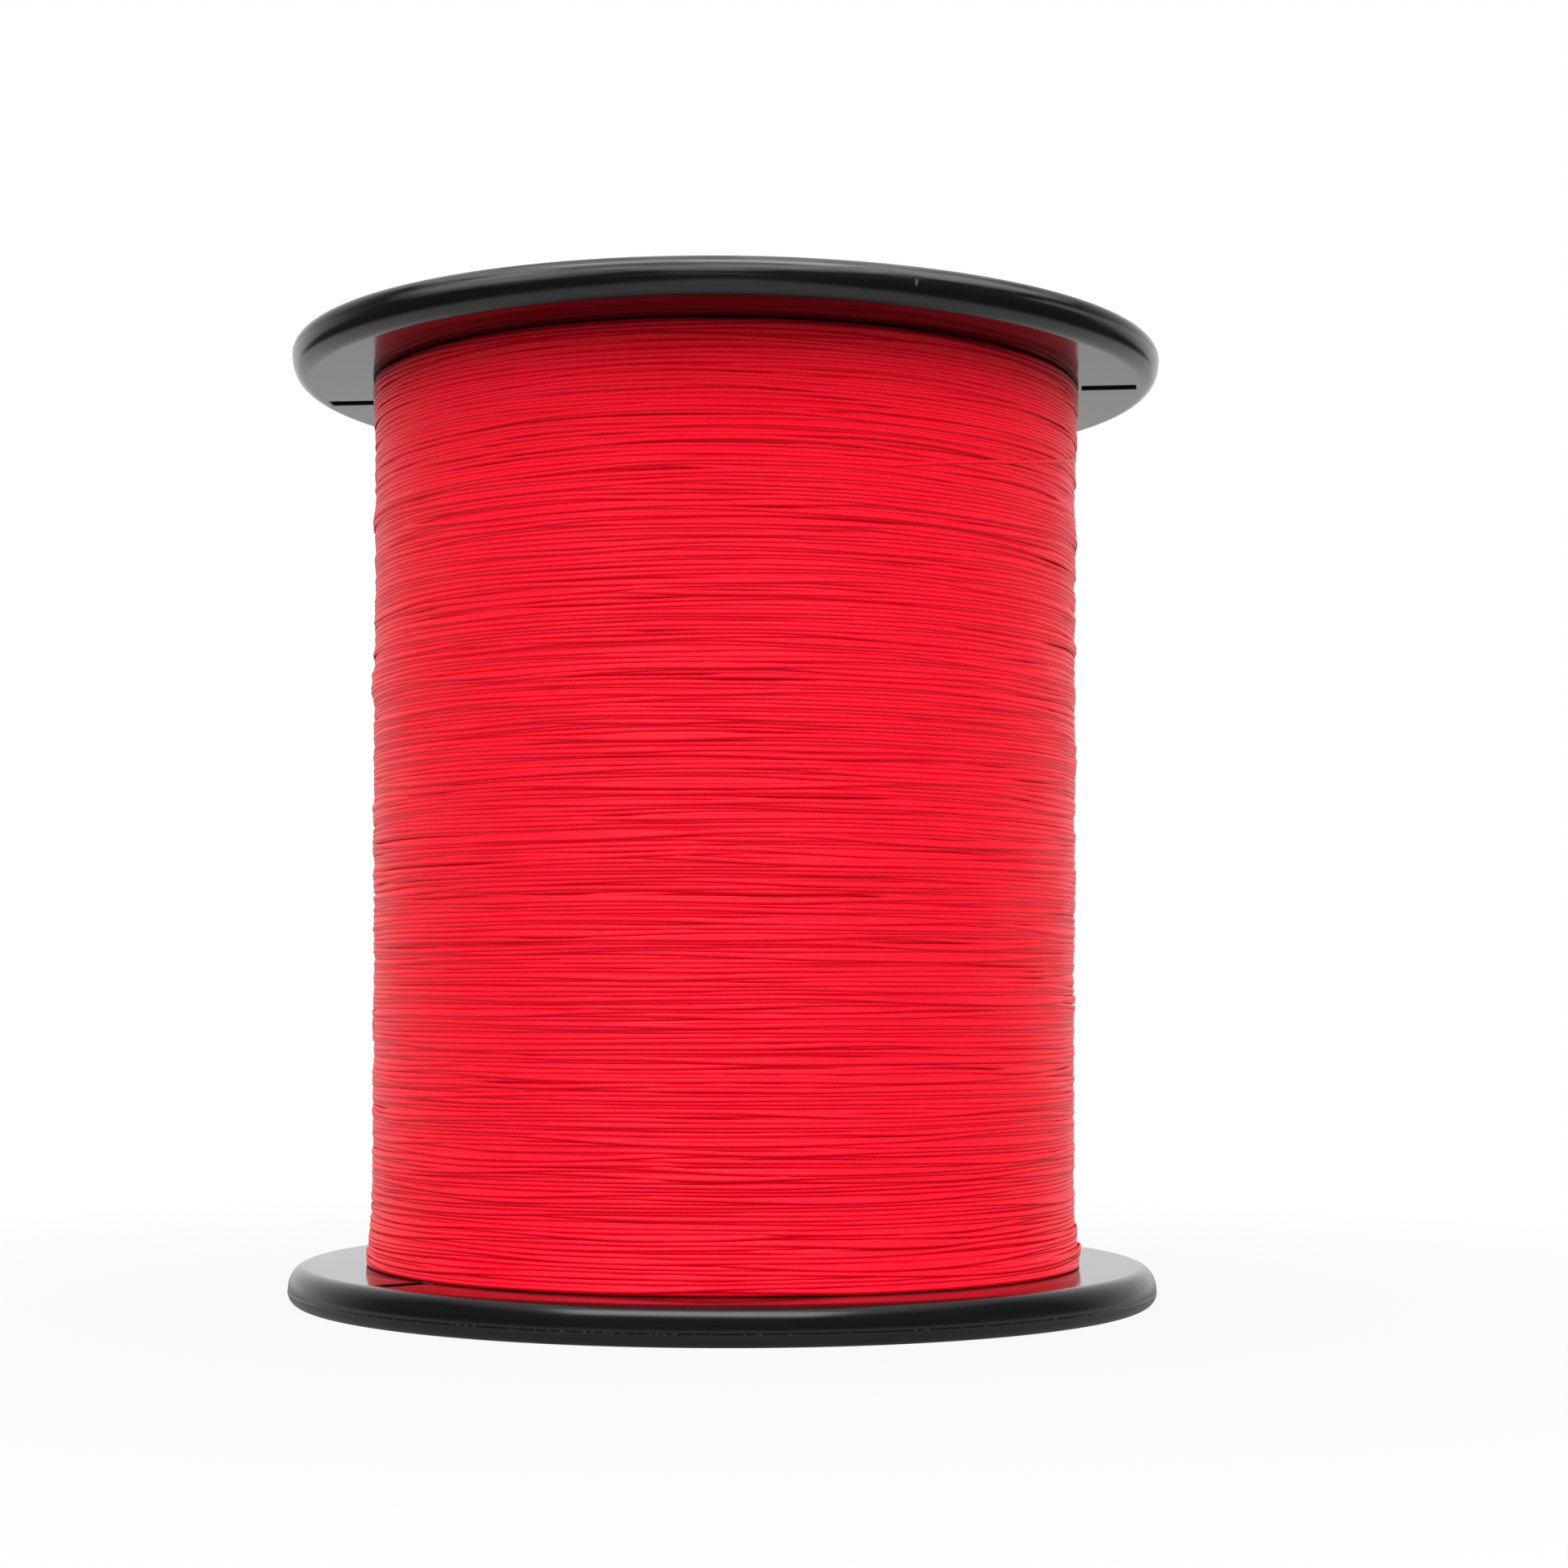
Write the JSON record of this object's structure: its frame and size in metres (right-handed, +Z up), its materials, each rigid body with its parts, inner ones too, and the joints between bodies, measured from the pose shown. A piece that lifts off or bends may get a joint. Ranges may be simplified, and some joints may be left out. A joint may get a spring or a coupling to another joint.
{
  "type": "fishing line spool",
  "caption": "Flanged bulk spool with an arbor bore through both hubs and radial line slots, wound full of braided fishing line.",
  "frame": {"origin": "centre of the plane that the lower rim stands on", "axes": "+Z up along the spool's axis; +X towards the upper flange's first line slot, 8 degrees from it"},
  "size_m": [0.1142, 0.1142, 0.125],
  "materials": {
    "flange_plastic": "glossy black moulded polystyrene with light scuffs",
    "barrel_plastic": "matt black extruded tube",
    "braided_line": "bright red braided polyester, slightly waxy"
  },
  "bodies": {
    "root": {"lower_flange": "flange_plastic", "upper_flange": "flange_plastic", "barrel": "barrel_plastic", "line_start": "braided_line", "line_pack": "braided_line", "outer_line_turns": "braided_line"}
  },
  "joints": []
}
